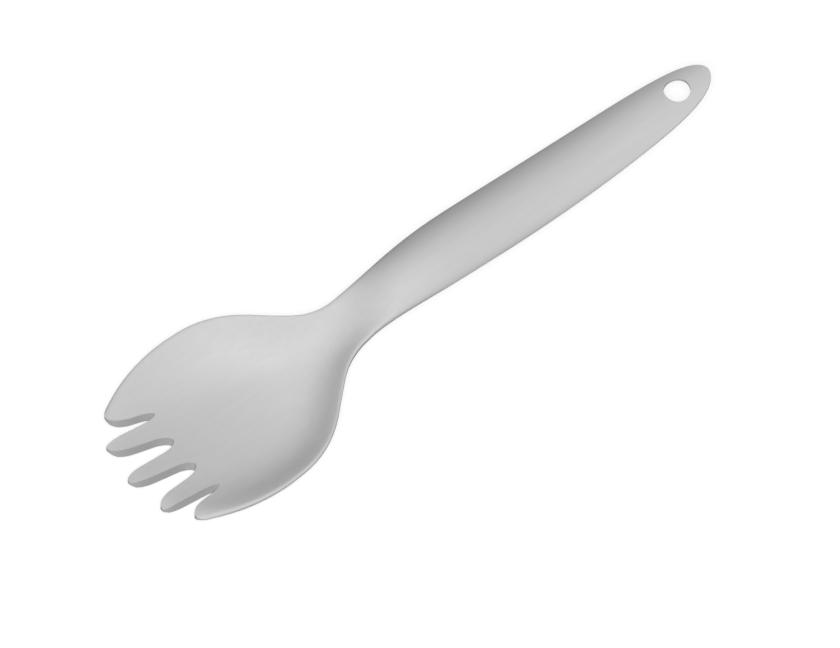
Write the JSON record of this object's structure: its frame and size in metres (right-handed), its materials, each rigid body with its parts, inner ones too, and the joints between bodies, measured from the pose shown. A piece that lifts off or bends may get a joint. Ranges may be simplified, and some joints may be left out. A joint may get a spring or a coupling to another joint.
{
  "type": "spork",
  "caption": "Moulded camping spork: tined shallow bowl with a rolled rim, pinched neck, and an arched handle with a hang hole.",
  "frame": {"origin": "halfway along the length, midway across, on the plane under the lowest point of the bowl", "axes": "+X from the tine tips to the handle's end, +Y across the bowl, +Z out of the open side of the bowl"},
  "size_m": [0.165, 0.0468, 0.0218],
  "materials": {
    "plastic": "matte"
  },
  "bodies": {
    "root": {"spork": "plastic"}
  },
  "joints": []
}
